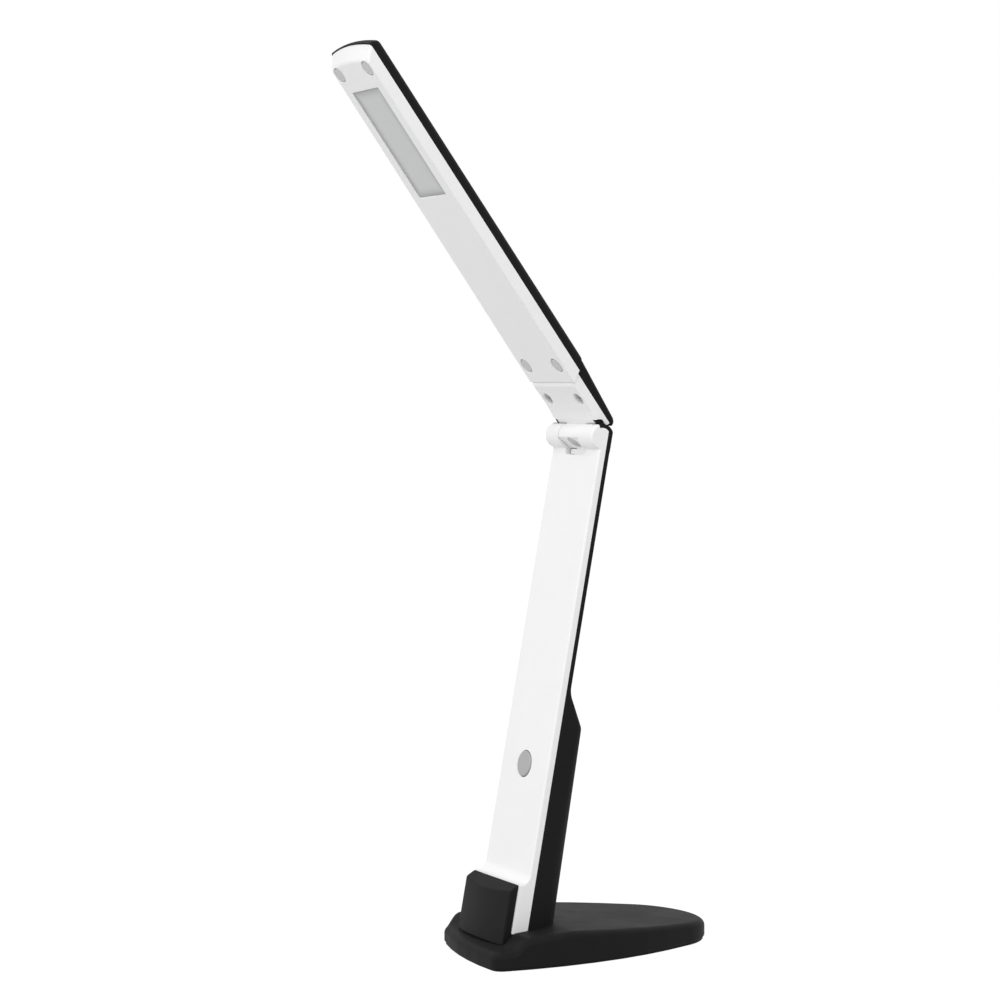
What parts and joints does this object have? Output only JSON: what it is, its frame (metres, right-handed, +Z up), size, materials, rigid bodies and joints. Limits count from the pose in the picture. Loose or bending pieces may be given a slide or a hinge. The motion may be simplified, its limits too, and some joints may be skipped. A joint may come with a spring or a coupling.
{
  "type": "led table lamp",
  "caption": "Folding battery LED table lamp: flat weighted base, leaning arm with a rear battery housing and front push button, and a long flat head that folds on a pin hinge.",
  "frame": {"origin": "underside of the anti-slip pad, in the middle of the base", "axes": "+Z up, -Y to the lamp's front, X across its width"},
  "size_m": [0.0742, 0.1686, 0.3819],
  "materials": {
    "black_plastic": "fine matte moulded texture",
    "white_plastic": "satin moulded",
    "grey_plastic": "satin moulded",
    "dark_plastic": "moulded",
    "diffuser_plastic": "milky translucent",
    "pad_rubber": "matte foam rubber",
    "plain_steel": "plain zinc plated",
    "screw_steel": "plated",
    "contact_metal": "nickel plated spring steel",
    "cell_steel": "wrapped steel can",
    "board_laminate": "coated laminate",
    "board_aluminium": "white coated",
    "led_resin": "phosphor resin",
    "wire_sheath": "soft sheath"
  },
  "bodies": {
    "stand": {"base_cover": "black_plastic", "base_plate": "black_plastic", "anti_slip_pad": "pad_rubber", "ballast_weight": "plain_steel", "base_screws": "screw_steel", "front_upstand": "black_plastic", "upstand_screws": "screw_steel", "foot_bracket": "plain_steel", "foot_screws": "screw_steel", "bracket_screws": "screw_steel", "arm_front_cover": "white_plastic", "arm_rear_cover": "black_plastic", "arm_screws": "screw_steel", "battery_door": "black_plastic", "door_screw": "screw_steel", "battery_cells": "cell_steel", "contact_springs": "contact_metal", "contact_plates": "contact_metal", "control_board": "board_laminate", "board_screws": "screw_steel", "tact_switch": "dark_plastic", "arm_wire": "wire_sheath", "hinge_pin": "plain_steel", "hinge_washers": "plain_steel"},
    "head": {"hinge_clamp_screw": "screw_steel", "neck_lower_cover": "white_plastic", "neck_screws": "screw_steel", "neck_upper_cover": "black_plastic", "neck_link": "plain_steel", "link_screws": "screw_steel", "head_lower_cover": "white_plastic", "head_upper_cover": "black_plastic", "head_screws": "screw_steel", "screw_plugs": "grey_plastic", "diffuser": "diffuser_plastic", "reflector_frame": "white_plastic", "led_board": "board_aluminium", "led_chips": "led_resin", "led_board_screws": "screw_steel", "head_wire": "wire_sheath"},
    "button": {"power_button": "grey_plastic", "switch_plunger": "dark_plastic"}
  },
  "joints": [
    {"name": "head_fold", "type": "hinge", "parent": "stand", "child": "head", "pos_m": [0, -0.00224, 0.21991], "axis": [1, 0, 0], "range_deg": [-47, 133]},
    {"name": "button_press", "type": "slide", "parent": "stand", "child": "button", "axis": [0, 0.9829, -0.184], "range_m": [0, 0.0008], "stiffness_N_per_m": 2000, "springref_m": -0.0003}
  ]
}
